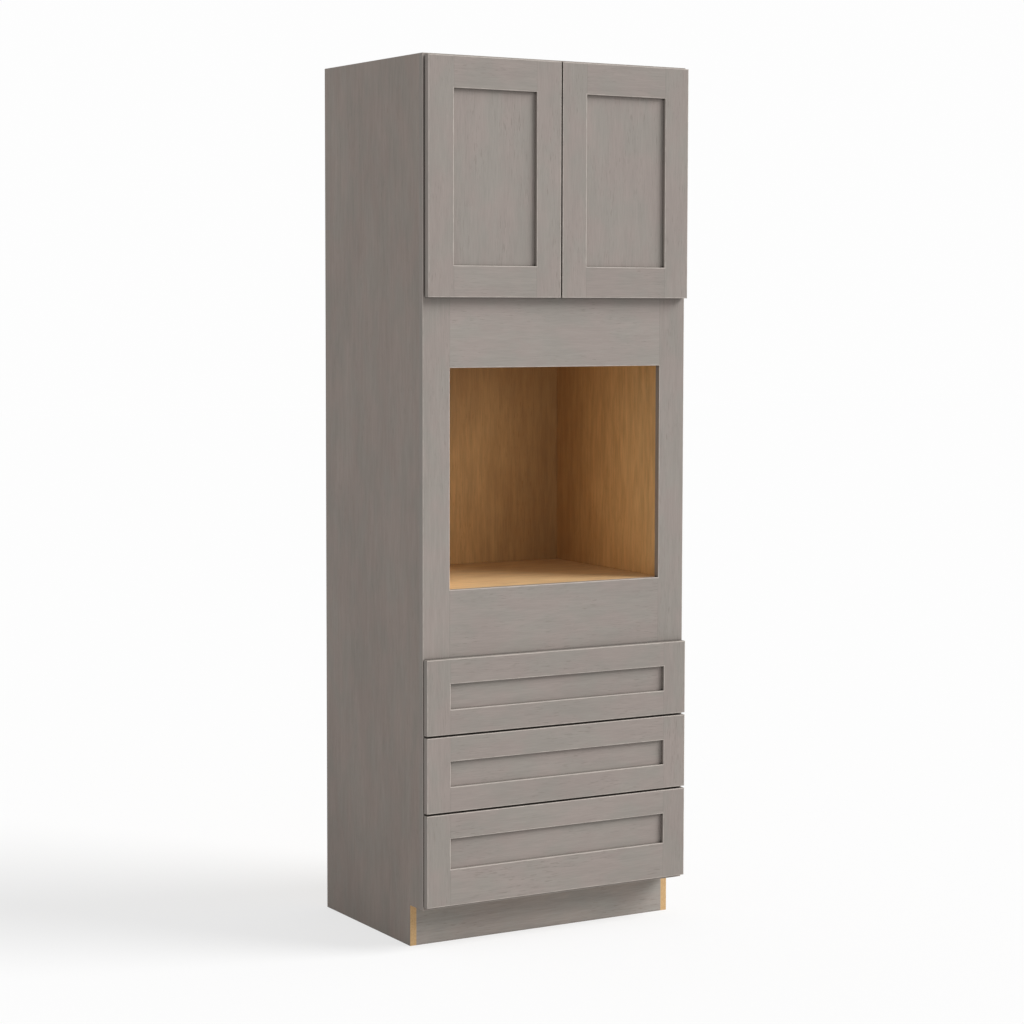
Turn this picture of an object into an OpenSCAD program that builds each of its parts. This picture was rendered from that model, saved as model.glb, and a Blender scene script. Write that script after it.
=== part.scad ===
// Tall oven housing unit: a framed plywood cabinet, 33 x 96 x 24 inches, with two shaker doors
// above an open oven compartment and three shaker drawers below it.
// Millimetres. The origin is the middle of the footprint on the floor, +Z is up and the
// doors and drawers face -Y.

/* [Case] */
// Width over the side panels
cab_w = 838.2; // [700:1:1000]
// Height from the floor to the top edge
cab_h = 2438.4; // [2250:1:2600]
// Depth from the front of the face frame to the back
cab_d = 609.6; // [585:1:680]
// Thickness of the side panels
side_t = 19.05; // [15:0.05:22]
// Thickness of the back panel
back_t = 12.7; // [6:0.1:16]
// Thickness of the bottom, the oven deck and the upper deck
deck_t = 19.05; // [15:0.05:25]
// Thickness of the top panel
top_t = 12.7; // [9:0.1:19]
// Distance of the top panel below the top edge
top_drop = 12.7; // [5:0.1:15]
// Depth of the housings cut in the side panels
dado = 6.35; // [3:0.05:9]
// Height of the toe space
toe_h = 114.3; // [90:0.1:150]
// Depth of the toe space behind the front of the frame
toe_recess = 76.2; // [50:0.1:100]
// Thickness of the toe boards
toe_t = 12.7; // [9:0.1:19]

/* [Face frame] */
// Thickness of the face frame
frame_t = 19.05; // [16:0.05:25]
// Width of the stiles beside the doors and drawers
stile_w = 38.1; // [32:0.1:45]
// Width of the stiles beside the oven
oven_stile_w = 82.55; // [70:0.05:110]
// Height of the narrow rails
rail_h = 38.1; // [30:0.1:50]
// Height of the oven opening
oven_h = 605.2; // [500:0.1:700]
// Height of frame that shows between the top drawer and the oven opening
lower_band_h = 186.1; // [120:0.1:220]
// Height of frame that shows between the oven opening and the doors
upper_band_h = 191.1; // [120:0.1:230]
// Overlap of a door or drawer front on the wide rails
overlap = 12.7; // [8:0.1:20]

/* [Oven compartment] */
// Thickness of the lining boards
liner_t = 12.7; // [6:0.1:19]
// Distance of the lining behind the edge of the opening
liner_setback = 12.7; // [3:0.1:20]
// Width of the furring strips behind the lining
furring_w = 60; // [30:1:90]
// Width of the cleats under the oven deck
cleat_w = 38.1; // [25:0.1:60]
// Thickness of the cleats under the oven deck
cleat_t = 19.05; // [12:0.05:25]

/* [Upper compartment] */
// Thickness of the loose shelf
shelf_t = 19.05; // [15:0.05:25]
// Gap at each end and at the back of the shelf
shelf_gap = 1.5; // [0.5:0.1:4]
// Distance of the shelf behind the face frame
shelf_setback = 20; // [5:1:60]
// Radius of the shelf pins
pin_r = 2.5; // [2:0.1:4]
// Depth of the pin holes
pin_hole = 11; // [8:0.5:13]
// Spacing of the pin holes
pin_pitch = 32; // [25:1:40]
// Number of pin holes in a row
pin_count = 9; // [5:1:11]
// Distance of a row of pin holes from the front or back of the shelf space
pin_inset = 60; // [40:1:90]
// Height of the nailing rails
nailer_h = 88.9; // [60:0.1:110]
// Thickness of the nailing rails
nailer_t = 19.05; // [12:0.05:22]

/* [Fronts] */
// Thickness of the doors and drawer fronts
front_t = 19.05; // [18:0.05:24]
// Depth of the panels behind the face of their frames
panel_recess = 10.5; // [8:0.1:11]
// Thickness of the panels
panel_t = 5.5; // [4:0.1:6.5]
// Depth of the grooves that hold the panels
groove_d = 10; // [6:0.1:14]
// Chamfer on the front edges
ease = 1; // [0.4:0.1:2]
// Gap between the doors and the face frame
door_gap = 4.8; // [4.2:0.1:6]
// Gap between the drawer fronts and the face frame
drawer_gap = 2.4; // [1.5:0.1:4]
// Reveal at the outer edge of a door
door_reveal = 5; // [4.8:0.1:8]
// Reveal above the doors
top_reveal = 4.8; // [3:0.1:15]
// Gap between the two doors
meeting_gap = 4.5; // [3:0.1:6]
// Width of the door stiles
door_stile_w = 77.4; // [60:0.1:95]
// Width of the door rails
door_rail_w = 86; // [60:0.1:100]

/* [Hinges] */
// Radius of the hinge cup
cup_r = 17.5; // [16:0.1:19]
// Depth of the hinge cup
cup_depth = 12.4; // [12:0.1:13]
// Sheet thickness of the hinge cup
cup_t = 0.8; // [0.6:0.1:1]
// Wood left between the cup and the edge of the door
cup_edge = 3; // [2.5:0.1:4]
// Hinge pin from the edge of the door
pivot_in = 8.6; // [8.2:0.1:9.5]
// Hinge pin from the face of the door
pivot_back = 10; // [9.7:0.1:10.4]
// Radius of the hinge pin
hinge_pin_r = 1.2; // [1:0.1:1.3]
// Radius of the knuckle
knuckle_r = 2.1; // [1.9:0.1:2.2]
// Running clearance of the pin in the knuckle
pin_clear = 0.05; // [0.02:0.01:0.1]
// Sheet thickness of the hinge arm
arm_t = 1.6; // [1.2:0.1:2]
// Width of the hinge arm
arm_w = 10; // [8:0.5:11]
// Height of the hinge plate on the frame
plate_h = 44; // [30:1:60]
// Hinge from the top or bottom edge of its door
hinge_inset = 95; // [70:1:130]
// Radius of the door bumpers
bumper_r = 4; // [3:0.1:5]

/* [Drawers] */
// Height of the bottom drawer front
bottom_front_h = 254; // [220:0.5:280]
// Height of the middle drawer front
middle_front_h = 207.5; // [180:0.5:240]
// Height of the top drawer front
top_front_h = 207.5; // [180:0.5:240]
// Gap between the drawer fronts
front_gap = 6; // [2:0.1:10]
// Lower edge of the bottom drawer front above the toe space
front_lift = 9.2; // [3:0.1:20]
// Reveal at the side edges of the drawer fronts
drawer_reveal = 2.4; // [0.5:0.1:5]
// Width of the drawer front stiles
drawer_stile_w = 72; // [50:0.1:90]
// Width of the drawer front rails
drawer_rail_w = 68.5; // [50:0.1:75]
// Width of the lowest rail of the bottom drawer front
base_rail_w = 100.5; // [60:0.1:110]
// Thickness of the drawer box boards
box_t = 15.9; // [12:0.1:16]
// Thickness of the drawer bottoms
bottom_t = 6.35; // [5:0.05:9]
// Underside of the drawer bottom above the lower edge of the box
bottom_lift = 12.7; // [12.7:0.1:16]
// Depth of the grooves for the drawer bottom
bottom_groove = 6; // [4:0.1:8]
// Gap at each side of a drawer box
box_gap = 5.1; // [4:0.1:7]
// Lower edge of the box above its opening
box_lift = 7.5; // [7.5:0.1:12]
// Space above the box in its opening
headroom = 32; // [15:0.5:45]
// Spacing of the dovetails
tail_pitch = 26; // [20:0.5:40]
// Wood left in front of the dovetails
tail_lap = 4; // [3:0.1:6]
// Slope of the dovetails, sideways rise for each unit of length
tail_slope = 0.14; // [0.08:0.01:0.2]

/* [Slides] */
// Length of the drawer slides and the drawer boxes
slide_len = 533.4; // [450:0.1:540]
// Step between the lengths that slides come in, and the spacing of their screw holes
slide_step = 76.2; // [50:0.1:80]
// Sheet thickness of the slides
slide_t = 1.5; // [1.2:0.1:1.8]
// Width of the slide members
slide_w = 22; // [20:0.5:30]
// Gap between a slide member and the drawer side
slide_in = 3; // [2:0.1:6]
// Height of the flange on the frame
flange_h = 30; // [24:1:40]
// Clearance between the slide members
slide_clear = 0.4; // [0.3:0.05:0.5]
// Gap between the front board of a box and the ends of its slides
slide_setback = 1.5; // [1:0.1:4]
// Distance of the screw flange behind the front of the face frame
flange_setback = 2; // [0.5:0.1:5]
// Gap between the back board of a box and the rear brackets
bracket_gap = 3; // [2:0.1:8]
// Length of slide held in the rear bracket
bracket_hold = 20; // [12:1:24]
// Walls of the rear brackets
bracket_t = 3; // [2:0.1:4]

/* [Hidden] */

stain = "#9a918a";
birch = "#c09661";
steel = "#a9adb0";
rubber = "#d8dadb";

// Clearance in the wood joints, and the small overrun of a cut past a face
joint_fit = 0.1;
over = 1;

// Planes of the case
front_y = (front_t + door_gap - cab_d) / 2;
back_y = front_y + cab_d;
frame_back = front_y + frame_t;
inner_back = back_y - back_t;
side_in = cab_w / 2 - side_t;
open_half = cab_w / 2 - stile_w;
oven_half = cab_w / 2 - oven_stile_w;

// Levels of the drawer fronts and the openings
drawer_fronts = [bottom_front_h, middle_front_h, top_front_h];
bottom_front_z = toe_h + front_lift;
middle_front_z = bottom_front_z + bottom_front_h + front_gap;
top_front_z = middle_front_z + middle_front_h + front_gap;
drawers_top = top_front_z + top_front_h;
floor_z = toe_h + rail_h;
low_rail_z = middle_front_z - (front_gap + rail_h) / 2;
high_rail_z = top_front_z - (front_gap + rail_h) / 2;
drawer_open_top = drawers_top - overlap;
oven_z = drawers_top + lower_band_h;
oven_top = oven_z + oven_h;
door_z = oven_top + upper_band_h;
door_open_z = door_z + overlap;
door_h = cab_h - top_reveal - door_z;
top_z = cab_h - top_drop - top_t;

// Doors and hinges
door_w = (cab_w - meeting_gap) / 2 - door_reveal;
door_back = front_y - door_gap;
door_face = door_back - front_t;
cup_x = cab_w / 2 - door_reveal - cup_edge - cup_r;
pivot_x = cab_w / 2 - door_reveal - pivot_in;
pivot_y = door_face + pivot_back;
hinge_zs = [door_z + hinge_inset, door_z + door_h - hinge_inset];

// Drawer boxes and slides
drawer_back = front_y - drawer_gap;
box_half = open_half - box_gap;
// Slides as fitted: the named length, or a shorter one where the case is too shallow for it
bracket_room = bracket_gap + bracket_hold + 3 * bracket_t;
spare_depth = inner_back - drawer_back - bracket_room - slide_len;
run_len = slide_len - slide_step * max(0, ceil(-spare_depth / slide_step));
box_back = drawer_back + run_len;
slide_front = drawer_back + box_t + slide_setback;
bracket_front = box_back + bracket_gap;
channel_end = bracket_front + bracket_hold;
slide_x0 = box_half - box_t - slide_in;
slide_top = box_lift + bottom_lift;
slide_mid = slide_top / 2;

// Shelf
shelf_front = frame_back + shelf_setback;
shelf_back = inner_back - shelf_gap;
pin_z0 = (door_open_z + top_z - (pin_count - 1) * pin_pitch) / 2;
pin_ys = [shelf_front + pin_inset, shelf_back - pin_inset];
shelf_z = pin_z0 + floor(pin_count / 2) * pin_pitch + pin_r;

// A box between two corners
module block(low, high) {
    translate(low) cube(high - low);
}

// An outline in the X-Z plane, run from y0 to y1
module run_y(y0, y1) {
    translate([0, y1, 0]) rotate([90, 0, 0]) linear_extrude(y1 - y0) children();
}

// An outline in the Y-Z plane, run from x0 to x1
module run_x(x0, x1) {
    translate([x0, 0, 0]) rotate([90, 0, 90]) linear_extrude(x1 - x0) children();
}

// The same piece on both sides of the middle
module both_sides() {
    children();
    mirror([1, 0, 0]) children();
}

// ---------- case ----------

// Side panel on the right: toe notch, housings for the boards, rabbet for the back, pin holes
module side_board() {
    difference() {
        run_x(side_in, cab_w / 2) polygon([
            [front_y + toe_recess, 0], [back_y, 0], [back_y, cab_h], [frame_back, cab_h],
            [frame_back, toe_h], [front_y + toe_recess, toe_h]
        ]);
        for (level = [floor_z - deck_t, oven_z - deck_t, door_open_z - deck_t])
            housing(level, level + deck_t);
        housing(top_z, top_z + top_t);
        block([side_in - over, inner_back, toe_h], [side_in + dado, back_y + over, cab_h + over]);
        for (y = pin_ys, k = [0:pin_count - 1])
            translate([side_in - over, y, pin_z0 + k * pin_pitch]) rotate([0, 90, 0])
                cylinder(r = pin_r, h = pin_hole + over, $fn = 24);
    }
}

// Housing across the inner face of a side panel
module housing(z0, z1) {
    block([side_in - over, frame_back - over, z0], [side_in + dado, inner_back, z1]);
}

// Board that lies in the housings of both sides
module housed_board(z0, z1) {
    reach = side_in + dado - joint_fit;
    block([-reach, frame_back, z0], [reach, inner_back, z1]);
}

module left_side() {
    color(stain) mirror([1, 0, 0]) side_board();
}

module right_side() {
    color(stain) side_board();
}

module back_panel() {
    reach = side_in + dado - joint_fit;
    color(birch) block([-reach, inner_back, toe_h], [reach, back_y, cab_h]);
}

module top_panel() {
    color(birch) housed_board(top_z, top_z + top_t);
}

module upper_deck() {
    color(birch) housed_board(door_open_z - deck_t, door_open_z);
}

module bottom_deck() {
    color(birch) housed_board(floor_z - deck_t, floor_z);
}

module oven_deck() {
    color(birch) housed_board(oven_z - deck_t, oven_z);
}

module shelf() {
    reach = side_in - shelf_gap;
    color(birch) difference() {
        block([-reach, shelf_front, shelf_z], [reach, shelf_back, shelf_z + shelf_t]);
        // Chamfered front edge
        for (z = [shelf_z, shelf_z + shelf_t])
            translate([0, shelf_front, z]) rotate([45, 0, 0])
                cube([2 * cab_w, ease, ease], center = true);
    }
}

// Pin with a flat spoon under the shelf
module shelf_pin(y) {
    z = shelf_z - pin_r;
    translate([side_in, y, z]) rotate([0, 90, 0]) {
        cylinder(r = pin_r - joint_fit, h = pin_hole - joint_fit, $fn = 24);
        translate([0, 0, -2]) cylinder(r = pin_r + 1.5, h = 2, $fn = 24);
    }
    block([side_in - 14, y - 4, z - pin_r], [side_in - 1, y + 4, z + pin_r]);
}

module shelf_pins() {
    color(steel) both_sides() for (y = pin_ys) difference() {
        shelf_pin(y);
        // Flat top under the shelf
        block([0, y - 10, shelf_z], [side_in, y + 10, shelf_z + 10]);
    }
}

module liner() {
    x0 = oven_half + liner_setback;
    block([x0, frame_back, oven_z], [x0 + liner_t, inner_back, door_open_z - deck_t]);
}

module left_liner() {
    color(birch) mirror([1, 0, 0]) liner();
}

module right_liner() {
    color(birch) liner();
}

module furring_strips() {
    x0 = oven_half + liner_setback + liner_t;
    span = inner_back - frame_back - furring_w;
    color(birch) both_sides() for (k = [0:2]) {
        y = frame_back + k * span / 2;
        block([x0, y, oven_z], [side_in, y + furring_w, door_open_z - deck_t]);
    }
}

module deck_cleats() {
    color(birch) both_sides()
        block([side_in - cleat_t, frame_back, oven_z - deck_t - cleat_w],
              [side_in, inner_back, oven_z - deck_t]);
}

module toe_kick() {
    y = front_y + toe_recess;
    color(stain) block([-side_in, y, 0], [side_in, y + toe_t, floor_z - deck_t]);
}

module rear_toe_board() {
    color(birch) block([-side_in, inner_back - toe_t, 0], [side_in, inner_back, floor_z - deck_t]);
}

module nailers() {
    color(birch) for (z = [door_open_z, top_z - nailer_h])
        block([-side_in, inner_back - nailer_t, z], [side_in, inner_back, z + nailer_h]);
}

// ---------- face frame ----------

// Opening for the oven, with its front edges chamfered
module oven_opening() {
    translate([0, frame_back, 0])
        flared_opening(-oven_half, oven_half, oven_z, oven_top, frame_t);
}

// Stile on the right, wider beside the oven, with its outer front corner eased
module frame_stile() {
    edge = cab_w / 2;
    difference() {
        run_y(front_y, frame_back) polygon([
            [edge, toe_h], [edge, cab_h], [open_half, cab_h], [open_half, door_open_z],
            [oven_half, door_open_z], [oven_half, drawer_open_top],
            [open_half, drawer_open_top], [open_half, toe_h]
        ]);
        translate([edge, front_y, 0]) rotate([0, 0, 45])
            cube([ease, ease, 3 * cab_h], center = true);
        oven_opening();
    }
}

module left_stile() {
    color(stain) mirror([1, 0, 0]) frame_stile();
}

module right_stile() {
    color(stain) frame_stile();
}

module frame_rail(half, z0, z1) {
    block([-half, front_y, z0], [half, frame_back, z1]);
}

module top_rail() {
    color(stain) frame_rail(open_half, cab_h - rail_h, cab_h);
}

module oven_top_rail() {
    color(stain) difference() {
        frame_rail(oven_half, oven_top, door_open_z);
        oven_opening();
    }
}

module oven_bottom_rail() {
    color(stain) difference() {
        frame_rail(oven_half, drawer_open_top, oven_z);
        oven_opening();
    }
}

module drawer_rails() {
    color(stain) for (z = [low_rail_z, high_rail_z]) frame_rail(open_half, z, z + rail_h);
}

module bottom_rail() {
    color(stain) frame_rail(open_half, toe_h, floor_z);
}

// ---------- shaker fronts ----------

// Solid of a door or drawer front with its front edges chamfered, back face at y = 0
module eased_slab(x0, x1, z0, z1) {
    intersection() {
        translate([0, 0, z0]) linear_extrude(z1 - z0) polygon([
            [x0, 0], [x1, 0], [x1, ease - front_t], [x1 - ease, -front_t],
            [x0 + ease, -front_t], [x0, ease - front_t]
        ]);
        run_x(x0, x1) polygon([
            [0, z0], [0, z1], [ease - front_t, z1], [-front_t, z1 - ease],
            [-front_t, z0 + ease], [ease - front_t, z0]
        ]);
    }
}

// Opening through wood of thickness t, flared at the face by the chamfer
module flared_opening(x0, x1, z0, z1, t = front_t) {
    wide = ease + over;
    intersection() {
        translate([0, 0, z0 - wide]) linear_extrude(z1 - z0 + 2 * wide) polygon([
            [x0, over], [x1, over], [x1, ease - t], [x1 + wide, -t - over],
            [x0 - wide, -t - over], [x0, ease - t]
        ]);
        run_x(x0 - wide, x1 + wide) polygon([
            [over, z0], [over, z1], [ease - t, z1], [-t - over, z1 + wide],
            [-t - over, z0 - wide], [ease - t, z0]
        ]);
    }
}

// Layer of the front that the panel lies in, grown by a clearance
module panel_layer(x0, x1, z0, z1, grow) {
    y1 = panel_recess - front_t + panel_t;
    block([x0, y1 - panel_t - grow, z0], [x1, y1 + grow, z1]);
}

// Both stiles of a front, grooved for the panel and the rail tongues
module front_stiles(x0, x1, z0, z1, stile, low, high) {
    groove = groove_d + joint_fit;
    for (side = [0, 1]) {
        a = side == 0 ? x0 : x1 - stile;
        g = side == 0 ? x0 + stile - groove : x1 - stile - over;
        difference() {
            intersection() {
                eased_slab(x0, x1, z0, z1);
                block([a, -front_t - over, z0], [a + stile, over, z1]);
            }
            flared_opening(x0 + stile, x1 - stile, z0 + low, z1 - high);
            panel_layer(g, g + groove + over, z0 - over, z1 + over, joint_fit);
        }
    }
}

// Both rails of a front, grooved for the panel and tongued into the stiles
module front_rails(x0, x1, z0, z1, stile, low, high) {
    groove = groove_d + joint_fit;
    for (side = [0, 1]) {
        a = side == 0 ? z0 : z1 - high;
        b = side == 0 ? z0 + low : z1;
        g = side == 0 ? b - groove : a - over;
        difference() {
            union() {
                intersection() {
                    eased_slab(x0, x1, z0, z1);
                    block([x0 + stile, -front_t - over, a], [x1 - stile, over, b]);
                }
                panel_layer(x0 + stile - groove_d, x1 - stile + groove_d, a, b, 0);
            }
            flared_opening(x0 + stile, x1 - stile, z0 + low, z1 - high);
            panel_layer(x0, x1, g, g + groove + over, joint_fit);
        }
    }
}

// Flat panel, held in the grooves all round
module front_panel(x0, x1, z0, z1, stile, low, high) {
    hold = groove_d - joint_fit;
    panel_layer(x0 + stile - hold, x1 - stile + hold, z0 + low - hold, z1 - high + hold, 0);
}

// ---------- doors ----------

module door_stiles() {
    x0 = meeting_gap / 2;
    difference() {
        translate([0, door_back, 0])
            front_stiles(x0, x0 + door_w, door_z, door_z + door_h, door_stile_w, door_rail_w, door_rail_w);
        for (z = hinge_zs)
            translate([cup_x, door_back + over, z]) rotate([90, 0, 0])
                cylinder(r = cup_r + joint_fit, h = cup_depth + joint_fit + over, $fn = 64);
    }
}

module door_rails() {
    x0 = meeting_gap / 2;
    translate([0, door_back, 0])
        front_rails(x0, x0 + door_w, door_z, door_z + door_h, door_stile_w, door_rail_w, door_rail_w);
}

module door_panel() {
    x0 = meeting_gap / 2;
    translate([0, door_back, 0])
        front_panel(x0, x0 + door_w, door_z, door_z + door_h, door_stile_w, door_rail_w, door_rail_w);
}

// Cup with its screw flange, and the pin that stands across it
module hinge_cup(z) {
    difference() {
        union() {
            translate([cup_x, door_back, z]) rotate([90, 0, 0])
                cylinder(r = cup_r, h = cup_depth, $fn = 64);
            translate([cup_x, door_back + 1, z]) rotate([90, 0, 0]) linear_extrude(1) union() {
                circle(r = cup_r + 2, $fn = 64);
                translate([-6, -26]) square([12, 52]);
                for (s = [-1, 1]) translate([0, 26 * s]) circle(r = 6, $fn = 32);
            }
        }
        translate([cup_x, door_back + 2, z]) rotate([90, 0, 0])
            cylinder(r = cup_r - cup_t, h = cup_depth + 2 - cup_t, $fn = 64);
        for (s = [-1, 1]) translate([cup_x, door_back + 2, z + 26 * s]) rotate([90, 0, 0])
            cylinder(r = 2, h = 4, $fn = 24);
    }
    reach = sqrt(pow(cup_r - cup_t / 2, 2) - pow(pivot_x - cup_x, 2));
    translate([pivot_x, pivot_y, z - reach]) cylinder(r = hinge_pin_r, h = 2 * reach, $fn = 24);
}

module hinge_cups() {
    for (z = hinge_zs) hinge_cup(z);
}

// Arm that holds the knuckle in the cup and folds on to the edge and back of the frame stile
module hinge_arm(z) {
    bend_x = open_half - arm_t;
    difference() {
        union() {
            translate([pivot_x, pivot_y, z - arm_w / 2]) cylinder(r = knuckle_r, h = arm_w, $fn = 32);
            block([bend_x, pivot_y - arm_t, z - arm_w / 2], [pivot_x, pivot_y, z + arm_w / 2]);
            block([bend_x, pivot_y - arm_t, z - arm_w / 2], [open_half, front_y + 1, z + arm_w / 2]);
            block([bend_x, front_y + 1, z - plate_h / 2], [open_half, frame_back + arm_t, z + plate_h / 2]);
            block([bend_x, frame_back, z - plate_h / 2],
                  [open_half + stile_w / 2, frame_back + arm_t, z + plate_h / 2]);
        }
        translate([pivot_x, pivot_y, z - arm_w])
            cylinder(r = hinge_pin_r + pin_clear, h = 2 * arm_w, $fn = 24);
        for (s = [-1, 1]) translate([bend_x - over, (front_y + frame_back) / 2, z + s * plate_h / 3])
            rotate([0, 90, 0]) cylinder(r = 2, h = arm_t + 2 * over, $fn = 24);
    }
}

module hinge_arms() {
    color(steel) both_sides() for (z = hinge_zs) hinge_arm(z);
}

// Soft dots on the back of a door at its meeting corners
module bumpers() {
    x = meeting_gap / 2 + 2.5 * bumper_r;
    for (z = [door_z + overlap / 2, cab_h - (rail_h + top_reveal) / 2])
        translate([x, door_back, z]) rotate([-90, 0, 0])
            cylinder(r1 = bumper_r, r2 = bumper_r * 0.7, h = door_gap - 0.4, $fn = 32);
}

module left_door_stiles() {
    color(stain) mirror([1, 0, 0]) door_stiles();
}

module left_door_rails() {
    color(stain) mirror([1, 0, 0]) door_rails();
}

module left_door_panel() {
    color(stain) mirror([1, 0, 0]) door_panel();
}

module left_hinge_cups() {
    color(steel) mirror([1, 0, 0]) hinge_cups();
}

module left_bumpers() {
    color(rubber) mirror([1, 0, 0]) bumpers();
}

module right_door_stiles() {
    color(stain) door_stiles();
}

module right_door_rails() {
    color(stain) door_rails();
}

module right_door_panel() {
    color(stain) door_panel();
}

module right_hinge_cups() {
    color(steel) hinge_cups();
}

module right_bumpers() {
    color(rubber) bumpers();
}

// ---------- drawers ----------

// Lower edge, height and lowest rail of each drawer front, and the span of its opening
function front_z(k) = [bottom_front_z, middle_front_z, top_front_z][k];
function front_low(k) = k == 0 ? base_rail_w : drawer_rail_w;
function open_z(k) = [floor_z, low_rail_z + rail_h, high_rail_z + rail_h][k];
function open_top(k) = [low_rail_z, high_rail_z, drawer_open_top][k];
function box_z(k) = open_z(k) + box_lift;
function box_h(k) = open_top(k) - headroom - box_z(k);

module drawer_front_stiles(k) {
    half = cab_w / 2 - drawer_reveal;
    z = front_z(k);
    color(stain) translate([0, drawer_back, 0])
        front_stiles(-half, half, z, z + drawer_fronts[k], drawer_stile_w, front_low(k), drawer_rail_w);
}

module drawer_front_rails(k) {
    half = cab_w / 2 - drawer_reveal;
    z = front_z(k);
    color(stain) translate([0, drawer_back, 0])
        front_rails(-half, half, z, z + drawer_fronts[k], drawer_stile_w, front_low(k), drawer_rail_w);
}

module drawer_front_panel(k) {
    half = cab_w / 2 - drawer_reveal;
    z = front_z(k);
    color(stain) translate([0, drawer_back, 0])
        front_panel(-half, half, z, z + drawer_fronts[k], drawer_stile_w, front_low(k), drawer_rail_w);
}

// Outline of one dovetail: narrow at y0, where it leaves the board, and wide at its end y1
function tail(y0, y1, z, half, grow) =
    let (spread = abs(y1 - y0) * tail_slope)
    [[y0, z - half - grow], [y1, z - half - spread - grow],
     [y1, z + half + spread + grow], [y0, z + half + grow]];

// Outline of a drawer side in the Y-Z plane, with its tails at both ends
module side_outline(k, grow) {
    h = box_h(k);
    count = max(2, round(h / tail_pitch));
    step = h / count;
    y0 = drawer_back + box_t;
    y1 = box_back - box_t;
    translate([0, box_z(k)]) union() {
        translate([y0 - grow, 0]) square([y1 - y0 + 2 * grow, h]);
        for (i = [0:count - 1]) {
            z = (i + 0.5) * step;
            polygon(tail(y0 + 0.01, drawer_back + tail_lap - grow, z, step / 4, grow));
            polygon(tail(y1 - 0.01, box_back - tail_lap + grow, z, step / 4, grow));
        }
    }
}

// Space that the bottom of a drawer box takes, grown by a clearance
module bottom_space(k, grow) {
    z = box_z(k) + bottom_lift;
    x = box_half - box_t + bottom_groove - joint_fit + grow;
    block([-x, drawer_back + box_t - bottom_groove + joint_fit - grow, z - grow],
          [x, box_back - box_t + bottom_groove - joint_fit + grow, z + bottom_t + grow]);
}

module box_sides(k) {
    color(birch) both_sides() difference() {
        run_x(box_half - box_t, box_half) side_outline(k, 0);
        bottom_space(k, joint_fit);
    }
}

module box_ends(k) {
    z = box_z(k);
    color(birch) for (y = [drawer_back, box_back - box_t]) difference() {
        block([-box_half, y, z], [box_half, y + box_t, z + box_h(k)]);
        both_sides() run_x(box_half - box_t, box_half + over) side_outline(k, joint_fit);
        bottom_space(k, joint_fit);
        // Notches in the back board for the slides
        both_sides() block([slide_x0 - slide_w - slide_in, box_back - box_t - over, z - over],
                           [box_half - box_t, box_back + over, z + bottom_lift]);
    }
}

module box_bottom(k) {
    color(birch) bottom_space(k, 0);
}

// ---------- slides ----------

// Rectangle from its corners, measured inward from the frame edge and up from the slide base
module bar(u0, u1, v0, v1) {
    translate([open_half - u1, v0]) square([u1 - u0, v1 - v0]);
}

// Channel section: a base, two walls and a lip on each wall; flipped it becomes the runner
module track_section(u0, v0, v1, up) {
    base0 = up ? v0 : v1 - slide_t;
    lip0 = up ? v1 - slide_t : v0;
    u1 = u0 + slide_w;
    bar(u0, u1, base0, base0 + slide_t);
    bar(u0, u0 + slide_t, v0, v1);
    bar(u1 - slide_t, u1, v0, v1);
    bar(u0, u0 + 2 * slide_t, lip0, lip0 + slide_t);
    bar(u1 - 2 * slide_t, u1, lip0, lip0 + slide_t);
}

// Angle that carries the fixed track: a web on the rail and a flange on the stile
module angle_section() {
    bar(0, open_half - slide_x0 + slide_t, 0, slide_t);
    bar(0, slide_t, 0, flange_h);
}

// Fixed channel: a track on the web of its angle
module channel_section() {
    track_section(open_half - slide_x0, 0, slide_mid - slide_clear, true);
    angle_section();
}

// Screw holes in the flange: one into the stile, the others at each step behind it
module flange_holes(k) {
    for (y = [front_y + frame_t / 2:slide_step:channel_end - slide_step / 2])
        translate([open_half - slide_t - over, y, open_z(k) + flange_h * 2 / 3]) rotate([0, 90, 0])
            cylinder(r = 2, h = slide_t + 2 * over, $fn = 24);
}

// Runner under the drawer bottom
module runner_section() {
    track_section(open_half - slide_x0, slide_mid + slide_clear, slide_top, false);
}

// Middle member: a tube with a waist, held by the lips of both tracks
module middle_section() {
    u0 = open_half - slide_x0;
    u1 = u0 + slide_w;
    gap = slide_t + slide_clear;
    lip = 2 * slide_t + slide_clear;
    difference() {
        union() {
            bar(u0 + gap, u1 - gap, gap, slide_mid - slide_clear - gap);
            bar(u0 + lip, u1 - lip, gap, slide_top - gap);
            bar(u0 + gap, u1 - gap, slide_mid + slide_clear + gap, slide_top - gap);
        }
        bar(u0 + lip + slide_t, u1 - lip - slide_t, gap + slide_t, slide_top - gap - slide_t);
    }
}

// A section run along the slide, on both sides of drawer k
module slide_run(k, y0, y1) {
    both_sides() translate([0, 0, open_z(k)]) run_y(y0, y1) children();
}

module slide_channels() {
    color(steel) for (k = [0:2]) difference() {
        union() {
            slide_run(k, slide_front, channel_end) channel_section();
            slide_run(k, front_y + flange_setback, slide_front + over) angle_section();
        }
        both_sides() flange_holes(k);
    }
}

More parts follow.
